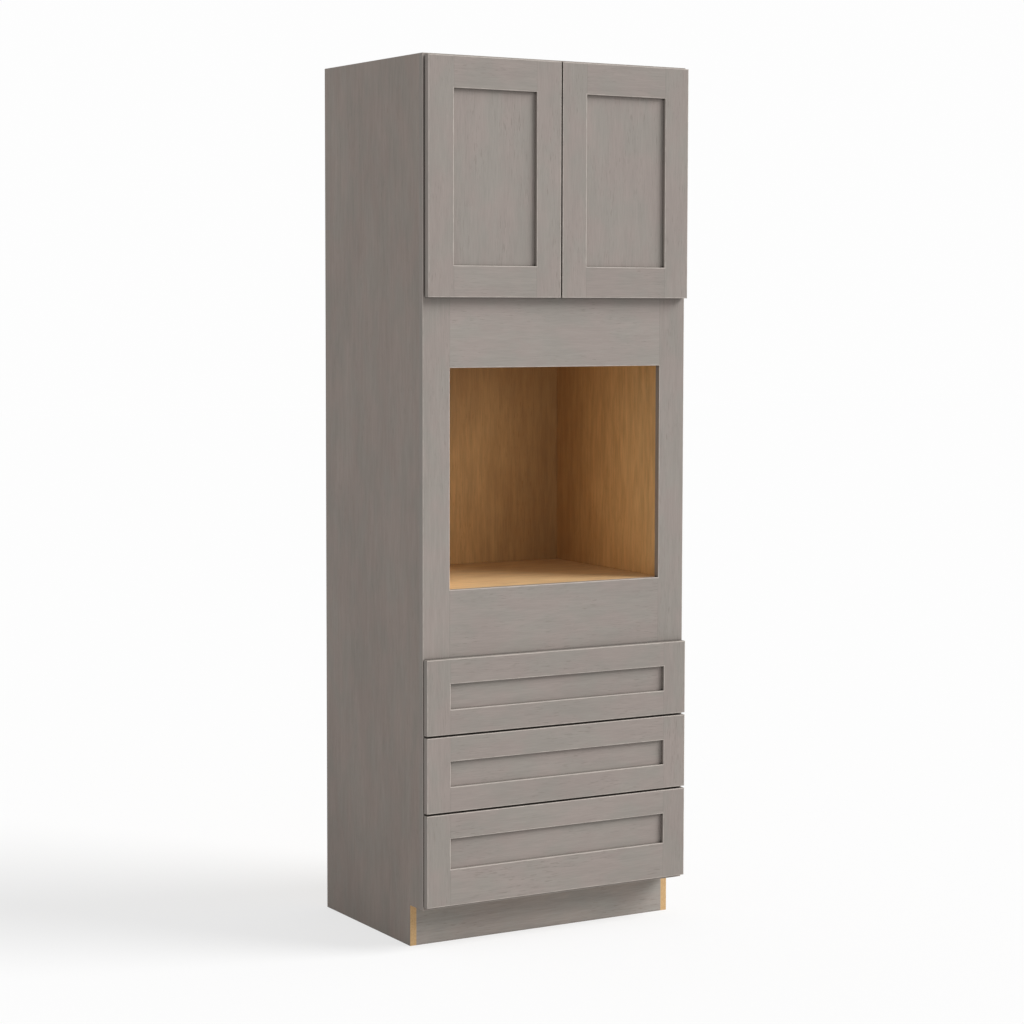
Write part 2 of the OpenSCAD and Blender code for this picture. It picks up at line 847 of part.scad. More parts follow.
// Hollow bracket that saddles the end of a fixed channel, with a lug screwed to the back panel
module slide_bracket(k) {
    x0 = slide_x0 - slide_w - bracket_t;
    lug_y = inner_back - bracket_t;
    translate([0, 0, open_z(k)]) difference() {
        run_x(x0, open_half) polygon([
            [bracket_front, 0], [inner_back, 0], [inner_back, flange_h], [lug_y, flange_h],
            [lug_y, slide_top], [bracket_front, slide_top]
        ]);
        // Seat of the channel and slot for its flange
        block([slide_x0 - slide_w, bracket_front - over, -over],
              [open_half + over, channel_end, slide_mid - slide_clear]);
        block([open_half - slide_t, bracket_front - over, -over],
              [open_half + over, channel_end, flange_h + over]);
        // Hollow behind the channel
        block([x0 + bracket_t, channel_end + bracket_t, -over],
              [open_half - bracket_t, lug_y, slide_top - bracket_t]);
        for (x = [x0 + 10, open_half - 10])
            translate([x, inner_back + over, (slide_top + flange_h) / 2]) rotate([90, 0, 0])
                cylinder(r = 2, h = bracket_t + 2 * over, $fn = 24);
    }
}

module slide_brackets() {
    color(rubber) both_sides() for (k = [0:2]) slide_bracket(k);
}

module runners(k) {
    color(steel) slide_run(k, slide_front, box_back) runner_section();
}

module middle_members(k) {
    color(steel) slide_run(k, slide_front, box_back) middle_section();
}

left_side();
right_side();
back_panel();
top_panel();
upper_deck();
shelf();
shelf_pins();
left_liner();
right_liner();
furring_strips();
oven_deck();
deck_cleats();
bottom_deck();
toe_kick();
rear_toe_board();
nailers();
left_stile();
right_stile();
top_rail();
oven_top_rail();
oven_bottom_rail();
drawer_rails();
bottom_rail();
hinge_arms();
slide_channels();
slide_brackets();
left_door_stiles();
left_door_rails();
left_door_panel();
left_hinge_cups();
left_bumpers();
right_door_stiles();
right_door_rails();
right_door_panel();
right_hinge_cups();
right_bumpers();
drawer_front_stiles(2);  // top_front_stiles
drawer_front_rails(2);  // top_front_rails
drawer_front_panel(2);  // top_front_panel
box_sides(2);  // top_box_sides
box_ends(2);  // top_box_ends
box_bottom(2);  // top_box_bottom
runners(2);  // top_runners
middle_members(2);  // top_middle_members
drawer_front_stiles(1);  // middle_front_stiles
drawer_front_rails(1);  // middle_front_rails
drawer_front_panel(1);  // middle_front_panel
box_sides(1);  // middle_box_sides
box_ends(1);  // middle_box_ends
box_bottom(1);  // middle_box_bottom
runners(1);  // middle_runners
middle_members(1);  // middle_middle_members
drawer_front_stiles(0);  // bottom_front_stiles
drawer_front_rails(0);  // bottom_front_rails
drawer_front_panel(0);  // bottom_front_panel
box_sides(0);  // bottom_box_sides
box_ends(0);  // bottom_box_ends
box_bottom(0);  // bottom_box_bottom
runners(0);  // bottom_runners
middle_members(0);  // bottom_middle_members
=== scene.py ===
"""Finishes, small fasteners and studio for a tall framed oven housing unit.

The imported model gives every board, hinge and slide at its real place. This script dresses each
of them in its finish, adds the screws and soft dots, and sets up the camera, floor and lamps.
All lengths are metres, in the frame of the model.
"""
import logging
import math
from collections.abc import Callable, Sequence
from dataclasses import dataclass, field, replace
from enum import Enum

import bmesh
import bpy
from mathutils import Matrix, Vector


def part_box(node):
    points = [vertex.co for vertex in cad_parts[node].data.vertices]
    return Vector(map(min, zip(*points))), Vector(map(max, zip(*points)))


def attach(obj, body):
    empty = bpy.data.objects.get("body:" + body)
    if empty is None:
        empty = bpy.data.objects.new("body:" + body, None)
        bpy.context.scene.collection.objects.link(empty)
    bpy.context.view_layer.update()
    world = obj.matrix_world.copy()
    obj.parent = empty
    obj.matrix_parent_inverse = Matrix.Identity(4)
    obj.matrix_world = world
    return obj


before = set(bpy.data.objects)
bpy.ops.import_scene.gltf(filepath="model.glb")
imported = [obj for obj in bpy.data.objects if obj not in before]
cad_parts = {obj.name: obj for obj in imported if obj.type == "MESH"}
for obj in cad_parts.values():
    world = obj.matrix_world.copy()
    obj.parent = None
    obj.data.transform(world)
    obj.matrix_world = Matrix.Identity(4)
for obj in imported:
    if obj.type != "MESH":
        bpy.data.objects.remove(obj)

LOG = logging.getLogger("oven_housing")
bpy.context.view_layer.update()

Socket = bpy.types.NodeSocket
Value = Socket | float | tuple[float, ...]
Inputs = dict[str | int, Value]
Corner = bmesh.types.BMVert
Fill = Callable[[bmesh.types.BMesh], None]
Seat = tuple[Vector, Vector]

WHITE = (1.0, 1.0, 1.0, 1.0)
REARWARD = Vector((0, 1, 0))
FORWARD = Vector((0, -1, 0))

# Most of a noise lies between these two numbers.
NOISE_LOW, NOISE_HIGH = 0.3, 0.7
# How far apart the pieces are spread in the noise along X, Y and Z, so that no two look alike.
SPREAD = (11.0, 17.0, 23.0)
# Darkest and lightest piece against the usual tone.
PIECE_TONES = (0.985, 1.015)


class Axis(Enum):
    """A direction of the model: across the front, from front to back, or upright."""

    ACROSS = 0
    DEEP = 1
    UPRIGHT = 2

    def scale(self, across: float, along: float) -> tuple[float, ...]:
        """Blobs of a noise for each metre, given across this axis and along it."""
        return tuple(along if axis is self else across for axis in Axis)


class Side(Enum):
    """The left or right half of the cabinet, as seen from the front."""

    LEFT = -1
    RIGHT = 1

    @property
    def word(self) -> str:
        """Name of the side in the names of the pieces."""
        return self.name.lower()


class Blend(Enum):
    """What a mix node mixes: Blender's name, the places of its two inputs and its output."""

    NUMBERS = ("FLOAT", 2, 3, 0)
    COLOURS = ("RGBA", 6, 7, 2)


def tint(code: str) -> tuple[float, float, float, float]:
    """Turns a display colour into the linear colour that a shader takes.

    Args:
        code: The colour as "#rrggbb".

    Returns:
        Red, green, blue and alpha.
    """
    parts = [int(code[i:i + 2], 16) / 255 for i in (1, 3, 5)]
    line = [c / 12.92 if c <= 0.04045 else ((c + 0.055) / 1.055) ** 2.4 for c in parts]
    return (*line, 1.0)


def grey(level: float) -> tuple[float, float, float, float]:
    """The linear grey of a level."""
    return (level, level, level, 1.0)


# ---------- shader building ----------


class Graph:
    """The shader nodes of one material or world, added one after another."""

    def __init__(self, owner: bpy.types.Material | bpy.types.World) -> None:
        """Starts with an empty tree.

        Args:
            owner: The material or world that the nodes belong to.
        """
        owner.use_nodes = True
        self.owner = owner
        self.tree = owner.node_tree
        self.tree.nodes.clear()

    @classmethod
    def paint(cls, name: str) -> "Graph":
        """The nodes of a new material called name."""
        return cls(bpy.data.materials.new(name))

    def node(self, kind: str, inputs: Inputs, **settings: object) -> bpy.types.ShaderNode:
        """Adds one node.

        Args:
            kind: Blender's class name of the node.
            inputs: What goes in, by name or place: an output of another node, which is linked,
                or a plain number, vector or colour, which is the same all over.
            **settings: Properties that are set on the node.

        Returns:
            The new node.
        """
        made = self.tree.nodes.new(kind)
        for key, value in settings.items():
            setattr(made, key, value)
        for key, value in inputs.items():
            if isinstance(value, Socket):
                self.tree.links.new(value, made.inputs[key])
            else:
                made.inputs[key].default_value = value
        return made

    def calc(self, work: str, first: Value, *others: Value, clamp: bool = False) -> Socket:
        """Works numbers together, one after another.

        Args:
            work: Blender's name of the operation, such as "MULTIPLY".
            first: First number.
            *others: The numbers it is worked with, none if the operation takes only one.
            clamp: Whether the results are kept between 0 and 1.

        Returns:
            The last result.
        """
        result = first
        for other in others or (0.0,):
            inputs = {0: result, 1: other}
            made = self.node("ShaderNodeMath", inputs, operation=work, use_clamp=clamp)
            result = made.outputs[0]
        return result

    def vector(self, work: str, first: Value, second: Value) -> Socket:
        """Works two vectors together by Blender's name of the operation, axis by axis."""
        return self.node("ShaderNodeVectorMath", {0: first, 1: second}, operation=work).outputs[0]

    def scaled(self, colour: Socket, gain: Socket) -> Socket:
        """Multiplies a colour by a number."""
        inputs = {0: colour, "Scale": gain}
        return self.node("ShaderNodeVectorMath", inputs, operation="SCALE").outputs[0]

    def split(self, vector: Socket) -> list[Socket]:
        """The X, Y and Z of a vector."""
        return list(self.node("ShaderNodeSeparateXYZ", {0: vector}).outputs)

    def noise(self, place: Socket, scale: float | tuple[float, ...], detail: float = 2.0) -> Socket:
        """Adds cloud noise.

        Args:
            place: Position.
            scale: Blobs for each metre, in all directions or along X, Y and Z.
            detail: Number of finer layers.

        Returns:
            A number about 0.5.
        """
        stretch = scale if isinstance(scale, tuple) else (scale,) * 3
        inputs = {"Vector": self.vector("MULTIPLY", place, stretch), "Scale": 1.0, "Detail": detail}
        return self.node("ShaderNodeTexNoise", inputs, noise_dimensions="3D").outputs[0]

    def ramp(self, value: Value, low: float, high: float,
             to: tuple[float, float] = (0, 1)) -> Socket:
        """Maps a range of numbers smoothly on to another.

        Args:
            value: The number that is mapped.
            low: Number that becomes the start of the new range.
            high: Number that becomes the end of the new range.
            to: The new range.

        Returns:
            The mapped number.
        """
        inputs = {"Value": value, "From Min": low, "From Max": high,
                  "To Min": to[0], "To Max": to[1]}
        return self.node("ShaderNodeMapRange", inputs, interpolation_type="SMOOTHSTEP").outputs[0]

    def swing(self, noise: Socket, to: tuple[float, float] = (0, 1)) -> Socket:
        """Maps most of a noise on to a range."""
        return self.ramp(noise, NOISE_LOW, NOISE_HIGH, to)

    def mix(self, share: Value, first: Value, second: Value,
            kind: Blend = Blend.COLOURS) -> Socket:
        """Mixes two colours or two numbers.

        Args:
            share: Share of the second one.
            first: What there is where the share is 0.
            second: What there is where the share is 1.
            kind: Whether they are colours or numbers.

        Returns:
            The mixture.
        """
        name, low, high, out = kind.value
        inputs = {0: share, low: first, high: second}
        return self.node("ShaderNodeMix", inputs, data_type=name, clamp_factor=True).outputs[out]

    def corners(self, reach: float, free: float, deep: float) -> Socket:
        """Finds inner corners and narrow gaps, which painted shade darkens.

        Args:
            reach: Distance to the neighbouring surfaces that count.
            free: Open share of the surroundings that still counts as free.
            deep: Open share that counts as deep in a gap.

        Returns:
            0 in the open, 1 deep in a gap.
        """
        made = self.node("ShaderNodeAmbientOcclusion", {"Distance": reach}, samples=6)
        return self.ramp(made.outputs["AO"], free, deep)

    def place(self) -> Socket:
        """Position on the piece, in the frame of the model at rest."""
        return self.node("ShaderNodeTexCoord", {}).outputs["Object"]

    def facing(self) -> list[Socket]:
        """X, Y and Z of the direction that the surface faces, on the piece at rest."""
        return self.split(self.node("ShaderNodeTexCoord", {}).outputs["Normal"])

    def luck(self) -> Socket:
        """A number from 0 to 1 that differs from piece to piece."""
        return self.node("ShaderNodeObjectInfo", {}).outputs["Random"]

    def surface(self, coat: "Coat", depth: float, gloss: float = 0.5,
                metal: float = 0.0) -> bpy.types.Material:
        """Joins a coat to the surface of the material.

        Args:
            coat: Colour, roughness and height.
            depth: Height of the relief.
            gloss: Specular level.
            metal: 1 for bare metal.

        Returns:
            The finished material.
        """
        inputs = {"Strength": 1.0, "Distance": depth, "Height": coat.height}
        bump = self.node("ShaderNodeBump", inputs)
        shader = self.node("ShaderNodeBsdfPrincipled", {
            "Base Color": coat.colour,
            "Roughness": coat.roughness,
            "Metallic": metal,
            "Specular IOR Level": gloss,
            "Normal": bump.outputs[0],
        })
        self.node("ShaderNodeOutputMaterial", {"Surface": shader.outputs[0]})
        return self.owner


@dataclass(frozen=True)
class Coat:
    """What a finish sends to the shader: its colour, roughness and height."""

    colour: Value
    roughness: Value
    height: Value

    def over(self, graph: Graph, cover: "Coat", share: Value) -> "Coat":
        """Lays another coat over this one.

        Args:
            graph: Nodes of the material.
            cover: The coat on top.
            share: Where the cover shows, from 0 to 1.

        Returns:
            The two coats together.
        """
        return Coat(
            graph.mix(share, self.colour, cover.colour),
            graph.mix(share, self.roughness, cover.roughness, Blend.NUMBERS),
            graph.mix(share, self.height, cover.height, Blend.NUMBERS),
        )


# ---------- finishes ----------


@dataclass(frozen=True)
class Outline:
    """A rectangle on the front, seen square on, and how wide its worn edges with a painted
    highlight are.
    """

    left: float
    right: float
    bottom: float
    top: float
    # Gain on the width of the worn edges with a painted highlight, and how steeply they fade.
    rub: float = 1.0
    steepness: float = 1.8

    def border(self, graph: Graph, across: Value, upright: Value, width: Value) -> Socket:
        """Finds the strip along the sides of the rectangle.

        Args:
            graph: Nodes of the material.
            across: X position on the piece.
            upright: Z position on the piece.
            width: Usual width of the strip.

        Returns:
            1 at the border, falling to 0 at the width.
        """
        reach = []
        for place, low, high in ((across, self.left, self.right),
                                 (upright, self.bottom, self.top)):
            away = graph.calc("ABSOLUTE", graph.calc("SUBTRACT", place, (low + high) / 2))
            reach.append(graph.calc("SUBTRACT", away, (high - low) / 2))
        distance = graph.calc("ABSOLUTE", graph.calc("MAXIMUM", *reach))
        strip = graph.calc("MULTIPLY", width, self.rub)
        falling = graph.calc("SUBTRACT", 1.0, graph.calc("DIVIDE", distance, strip))
        return graph.calc("MULTIPLY", falling, self.steepness, clamp=True)


@dataclass(frozen=True)
class Frontage:
    """Front of a framed piece: edges with thinner stain and a painted highlight, and its joint
    lines.
    """

    face: float
    outlines: tuple[Outline, ...]
    joints: tuple[float, ...] = ()
    # Width, spread, depth and share of the worn edges with a painted highlight; then the joint
    # lines.
    width: float = 0.0028
    narrowest: float = 0.7
    widest: float = 1.2
    unevenness: float = 40.0
    depth: float = 0.0015
    full_depth: float = 0.6
    rubbed_share: float = 0.95
    joint_width: float = 0.0007
    joint_share: float = 0.55

    def front(self, graph: Graph, deep: Socket) -> Socket:
        """1 at the front face, falling to 0 at the depth of the worn, highlighted edge."""
        full = self.face + self.full_depth * self.depth
        return graph.ramp(deep, self.face + self.depth, full)

    def rubbed(self, graph: Graph, place: Socket) -> Socket:
        """Finds the edges where handling and sanding have thinned the stain, and paints a highlight
        there.

        Args:
            graph: Nodes of the material.
            place: Position on the piece.

        Returns:
            Share of the worn edge colour with its painted highlight, from 0 to 1.
        """
        across, deep, upright = graph.split(place)
        uneven = graph.noise(place, self.unevenness)
        width = graph.swing(uneven, (self.narrowest * self.width, self.widest * self.width))
        borders = [line.border(graph, across, upright, width) for line in self.outlines]
        near = graph.calc("MAXIMUM", 0.0, *borders)
        return graph.calc("MULTIPLY", near, self.front(graph, deep), self.rubbed_share)

    def jointed(self, graph: Graph, place: Socket) -> Socket:
        """Finds the hairlines where the rails meet the stiles.

        Args:
            graph: Nodes of the material.
            place: Position on the piece.

        Returns:
            Share of the dark of the line, from 0 to 1.
        """
        across, deep, _ = graph.split(place)
        lines = []
        for joint in self.joints:
            away = graph.calc("ABSOLUTE", graph.calc("SUBTRACT", across, joint))
            part = graph.calc("DIVIDE", away, self.joint_width)
            lines.append(graph.calc("SUBTRACT", 1.0, part, clamp=True))
        near = graph.calc("MAXIMUM", 0.0, *lines)
        return graph.calc("MULTIPLY", near, self.front(graph, deep), self.joint_share)


@dataclass(frozen=True)
class Hollow:
    """A deep space in the case, with painted shade in its far corners and under its lid.

    The painted shade deepens over a distance of deep before the back, and over across beside the
    walls or over under below the lid. It is on upright faces that don't face the rear: the pairs
    hold the part of the facing where it ends and the part where it is full.
    """

    half: float = 0.336
    back: float = 0.290
    lid: float = 1.7806
    across: float = 0.40
    deep: float = 0.27
    under: float = 0.60
    under_full: float = 0.17
    share: float = 0.50
    upward: tuple[float, float] = (0.8, 0.3)
    rearward: tuple[float, float] = (0.5, 0.1)

    def shade(self, graph: Graph) -> Socket:
        """Finds the painted shade on the upright faces near the far corners and under the lid.

        Args:
            graph: Nodes of the material.

        Returns:
            Share of the painted shade, from 0 to 1.
        """
        across, deep, level = graph.split(graph.place())
        beside = graph.ramp(graph.calc("ABSOLUTE", across), self.half - self.across, self.half)
        far = graph.ramp(deep, self.back - self.deep, self.back)
        below = graph.calc("SUBTRACT", self.lid, level)
        under = graph.ramp(below, self.under, self.under_full * self.under)
        under = graph.calc("MULTIPLY", under, graph.calc("LESS_THAN", level, self.lid))
        near = graph.calc("MAXIMUM", beside, under)
        _, rearward, upward = graph.facing()
        upright = graph.ramp(graph.calc("ABSOLUTE", upward), *self.upward, (0, self.share))
        inward = graph.ramp(rearward, *self.rearward)
        return graph.calc("MULTIPLY", near, far, upright, inward)


@dataclass(frozen=True)
class Layer:
    """One layer of noise in the wood, in blobs for each metre across and along the grain."""

    across: float
    along: float
    detail: float
    low: float = NOISE_LOW
    high: float = NOISE_HIGH

    def noise(self, graph: Graph, place: Socket, grain: Axis) -> Socket:
        """The noise itself, about 0.5."""
        return graph.noise(place, grain.scale(self.across, self.along), self.detail)

    def ramp(self, graph: Graph, place: Socket, grain: Axis,
             to: tuple[float, float] = (0, 1)) -> Socket:
        """The noise between low and high, mapped on to a range."""
        return graph.ramp(self.noise(graph, place, grain), self.low, self.high, to)


PATCHES = Layer(15, 8, 3, 0.36, 0.66)
SHADES = Layer(7, 2.5, 2)
FIGURE = Layer(75, 8, 3)
FINE = Layer(420, 20, 2)
PORES = Layer(380, 34, 1, 0.60, 0.72)
PORE_DRIFT = Layer(16, 5, 1, 0.35, 0.65)


@dataclass(frozen=True)
class Timber:
    """Wood with its stain or lacquer, whose grain runs along one axis."""

    name: str
    warm: str
    cool: str
    pore: str
    # Colour of the worn edges, which also carries a painted highlight.
    rubbed: str
    # Colour of the dark joint lines and of the painted shade.
    crevice: str
    patches: float = 0.65
    shade: float = 0.025
    figure: float = 0.024
    fine: float = 0.042
    pores: float = 0.45
    # Painted shade in inner corners and narrow gaps: its share, reach, and the open shares where it
    # starts and is full.
    crevices: float = 0.85
    crevice_reach: float = 0.008
    free: float = 0.72
    closed: float = 0.27
    # Painted shade in the far corners and under the lid of a deep space, if any.
    hollow: Hollow | None = None
    rough: float = 0.55
    rough_swing: float = 0.12
    fine_height: float = 0.6
    relief: float = 0.00012
    gloss: float = 0.35
    end_facing: tuple[float, float] = (0.6, 0.9)
    end_specks: float = 900.0
    end_shares: tuple[float, float] = (0.3, 0.75)

    def coat(self, graph: Graph, grain: Axis, frontage: Frontage | None = None) -> Coat:
        """Paints the grain, then its worn edges and joints, with painted highlight and painted
        shade.

        Args:
            graph: Nodes of the material.
            grain: Direction of the grain.
            frontage: Edges and joints of the front that the wood belongs to.

        Returns:
            The coat of this wood.
        """
        luck = graph.luck()
        place = graph.vector("ADD", graph.place(), graph.vector("MULTIPLY", luck, SPREAD))
        fine = FINE.noise(graph, place, grain)
        drift = PORE_DRIFT.ramp(graph, place, grain)
        pore = graph.calc("MULTIPLY", PORES.ramp(graph, place, grain), drift)
        tone = graph.calc(
            "ADD",
            SHADES.ramp(graph, place, grain, (-self.shade, self.shade)),
            FIGURE.ramp(graph, place, grain, (-self.figure, self.figure)),
            graph.swing(fine, (-self.fine, self.fine)),
            graph.ramp(luck, 0, 1, PIECE_TONES),
        )
        patch = PATCHES.ramp(graph, place, grain, (0, self.patches))
        colour = graph.scaled(graph.mix(patch, tint(self.warm), tint(self.cool)), tone)
        for share, code in (
            (graph.calc("MULTIPLY", pore, self.pores), self.pore),
            (self.end_share(graph, grain), self.pore),
            *self.marks(graph, frontage),
        ):
            colour = graph.mix(share, colour, tint(code))
        rough = graph.calc("ADD", self.rough, graph.calc("MULTIPLY", fine, self.rough_swing))
        raised = graph.calc("MULTIPLY", fine, self.fine_height)
        return Coat(colour, rough, graph.calc("SUBTRACT", raised, pore))

    def marks(self, graph: Graph, frontage: Frontage | None) -> list[tuple[Socket, str]]:
        """Finds worn edges with a painted highlight, dark joints, and painted shade in hollows and
        gaps.

        Args:
            graph: Nodes of the material.
            frontage: Edges and joints of the front that the wood belongs to.

        Returns:
            Share and display colour of each mark, the first one lowest.
        """
        found = []
        # Worn edges with a painted highlight, and dark joint lines.
        if frontage is not None:
            found.append((frontage.rubbed(graph, graph.place()), self.rubbed))
            found.append((frontage.jointed(graph, graph.place()), self.crevice))
        # Painted shade in the far corners and under the lid of a deep space.
        if self.hollow is not None:
            found.append((self.hollow.shade(graph), self.crevice))
        # Painted shade in inner corners and narrow gaps, where they are occluded.
        gap = graph.corners(self.crevice_reach, self.free, self.closed)
        found.append((graph.calc("MULTIPLY", gap, self.crevices), self.crevice))
        return found

    def end_share(self, graph: Graph, grain: Axis) -> Socket:
        """Finds where the wood shows its end grain.

        Args:
            graph: Nodes of the material.
            grain: Direction of the grain.

        Returns:
            Share of the end grain colour, from 0 to 1.
        """
        facing = graph.calc("ABSOLUTE", graph.facing()[grain.value])
        speck = graph.noise(graph.place(), self.end_specks, 1)
        end = graph.ramp(facing, *self.end_facing)
        return graph.calc("MULTIPLY", end, graph.swing(speck, self.end_shares))

    def material(self, grain: Axis, frontage: Frontage | None = None) -> bpy.types.Material:
        """The material of solid wood with its grain along one axis."""
        graph = Graph.paint(f"{self.name}_{grain.name.lower()}")
        return graph.surface(self.coat(graph, grain, frontage), self.relief, gloss=self.gloss)


@dataclass(frozen=True)
class Plywood:
    """Board of thin layers with a veneer on each face, which shows its layers on its edges."""

    name: str
    front: Timber
    back: Timber
    thick: Axis
    core_light: str = "#dcbc8d"
    core_dark: str = "#ba9160"
    core_rough: float = 0.75
    core_height: float = 0.6
    layer: float = 0.00145
    wobble: float = 0.3
    wobble_blobs: float = 30.0
    specks: float = 260.0
    speck_swing: tuple[float, float] = (-0.25, 0.25)
    layer_swing: tuple[float, float] = (-0.5, 0.5)
    front_facing: tuple[float, float] = (-0.2, 0.2)
    edge_facing: tuple[float, float] = (0.6, 0.3)

    def material(self, grain: Axis, outward: int = 1) -> bpy.types.Material:
        """Paints both veneers and the layers.

        Args:
            grain: Direction of the grain of the veneers.
            outward: Sign of the face that carries the front veneer.

        Returns:
            The material of the board.
        """
        words = self.name, self.thick.name, grain.name, "pos" if outward > 0 else "neg"
        graph = Graph.paint("_".join(words).lower())
        facing = graph.facing()[self.thick.value]
        sided = graph.calc("MULTIPLY", facing, float(outward))
        front = self.front.coat(graph, grain)
        if self.back is self.front:
            face = front
        else:
            shown = graph.ramp(sided, *self.front_facing)
            face = self.back.coat(graph, grain).over(graph, front, shown)
        edge = graph.ramp(graph.calc("ABSOLUTE", facing), *self.edge_facing)
        coat = face.over(graph, self.layers(graph), edge)
        return graph.surface(coat, self.front.relief, gloss=self.front.gloss)

    def layers(self, graph: Graph) -> Coat:
        """Paints the cut edge.

        Args:
            graph: Nodes of the material.

        Returns:
            The coat of the edge.
        """
        place = graph.place()
        depth = graph.split(place)[self.thick.value]
        wobble = graph.calc("MULTIPLY", graph.noise(place, self.wobble_blobs), self.wobble)
        turns = graph.calc("ADD", graph.calc("DIVIDE", depth, 2 * self.layer), wobble)
        wave = graph.calc("SINE", graph.calc("MULTIPLY", turns, 2 * math.pi))
        light = graph.ramp(wave, *self.layer_swing)
        speck = graph.swing(graph.noise(place, self.specks), self.speck_swing)
        share = graph.calc("ADD", light, speck, clamp=True)
        colour = graph.mix(share, tint(self.core_dark), tint(self.core_light))
        return Coat(colour, self.core_rough, graph.calc("MULTIPLY", share, self.core_height))


@dataclass(frozen=True)
class Sheet:
    """Plated sheet steel, with the fine lines of rolling."""

    name: str
    light: str
    dark: str
    rough: float
    relief: float = 0.00003
    lines_across: float = 900.0
    lines_along: float = 12.0
    line_rough: float = 0.12
    cloud_rough: float = 0.06
    cloud: Layer = Layer(45.0, 45.0, 3, 0.35, 0.65)

    def material(self, grain: Axis) -> bpy.types.Material:
        """Paints the steel.

        Args:
            grain: Direction of the rolling lines.

        Returns:
            The material of the steel.
        """
        graph = Graph.paint(f"{self.name}_{grain.name.lower()}")
        place = graph.place()
        scale = grain.scale(self.lines_across, self.lines_along)
        lines = graph.swing(graph.noise(place, scale))
        cloud = self.cloud.ramp(graph, place, grain)
        colour = graph.mix(cloud, tint(self.dark), tint(self.light))
        rough = graph.calc(
            "ADD",
            self.rough,
            graph.calc("MULTIPLY", lines, self.line_rough),
            graph.calc("MULTIPLY", cloud, self.cloud_rough),
        )
        return graph.surface(Coat(colour, rough, lines), self.relief, metal=1.0)


@dataclass(frozen=True)
class Moulded:
    """Moulded plastic or soft rubber."""

    name: str
    light: str
    dark: str
    rough: float
    relief: float = 0.00004
    mould_grain: float = 1400.0
    clouds: float = 60.0
    cloud_rough: float = 0.08

    def material(self) -> bpy.types.Material:
        """Paints the fine grain of the mould.

        Returns:
            The material of the plastic.
        """
        graph = Graph.paint(self.name)
        place = graph.place()
        fine = graph.noise(place, self.mould_grain, 1)
        cloud = graph.swing(graph.noise(place, self.clouds))
        colour = graph.mix(cloud, tint(self.dark), tint(self.light))
        rough = graph.calc("ADD", self.rough, graph.calc("MULTIPLY", cloud, self.cloud_rough))
        return graph.surface(Coat(colour, rough, fine), self.relief)


Finish = Timber | Plywood | Sheet | Moulded

# In each timber, the pale mark colour is for worn edges with a painted highlight, and the darkest
# for dark joints and painted shade.
STAINED = Timber("grey_stain", warm="#928882", cool="#8c8881", pore="#756c65", rubbed="#b9b0a8",
                 crevice="#2a2420")
# The frame's painted shade in its gaps starts sooner and is stronger.
FRAMING = replace(STAINED, name="grey_stain_frame", free=0.95, crevices=0.9)
LIGHT_BOARD = replace(FRAMING, name="grey_stain_light_board", warm="#968c86", cool="#908c85")
VENEER = replace(STAINED, name="grey_stain_veneer", warm="#958880", cool="#8d877f",
                 shade=0.04, figure=0.04, fine=0.055)
TOE_VENEER = replace(VENEER, name="grey_stain_toe", warm="#9f968f", cool="#96948e")
# The birch carries painted shade in its gaps and in the far corners of deep spaces.
BIRCH = Timber("lacquered_birch", warm="#e0ba86", cool="#d9b17d", pore="#b98a50", rubbed="#e8caa0",
               crevice="#6c4018", patches=0.7, shade=0.05, figure=0.09, fine=0.07, pores=0.5,
               crevices=0.5, hollow=Hollow(), rough=0.42, gloss=0.45)
BACKING = replace(BIRCH, name="birch_backing", warm="#dcb57c", cool="#d5ac73")
# The lining's painted shade reaches further from the back and is a little lighter.
LINING = replace(BIRCH, name="birch_lining", warm="#e2bb83", cool="#dbb27b",
                 hollow=Hollow(deep=0.32, share=0.47))
DECKING = replace(BIRCH, name="birch_decking", warm="#ddbb8c", cool="#d6b183")
PALE_BIRCH = Timber("drawer_birch", warm="#e2c79e", cool="#dcc093", pore="#c39f6c",
                    rubbed="#ecd9b6", crevice="#7a5c36", shade=0.04, figure=0.06, fine=0.05,
                    crevices=0.4, rough=0.38, gloss=0.5)
BATTEN = Timber("sawn_batten", warm="#dabc8c", cool="#cfae7c", pore="#a98350", rubbed="#dfc596",
                crevice="#7a5c36", shade=0.08, figure=0.12, fine=0.12, pores=0.8, crevices=0.4,
                rough=0.8, relief=0.0003, gloss=0.2)
ZINC = Sheet("zinc_plate", light="#b9bdc0", dark="#9da2a6", rough=0.30)
NICKEL = Sheet("nickel_plate", light="#cbc9c4", dark="#b3b1ab", rough=0.20)
NYLON = Moulded("grey_nylon", light="#d0d0cd", dark="#c2c2bf", rough=0.45)
SOFT_DOT = Moulded("soft_dot", light="#dcdedd", dark="#cfd2d1", rough=0.25)


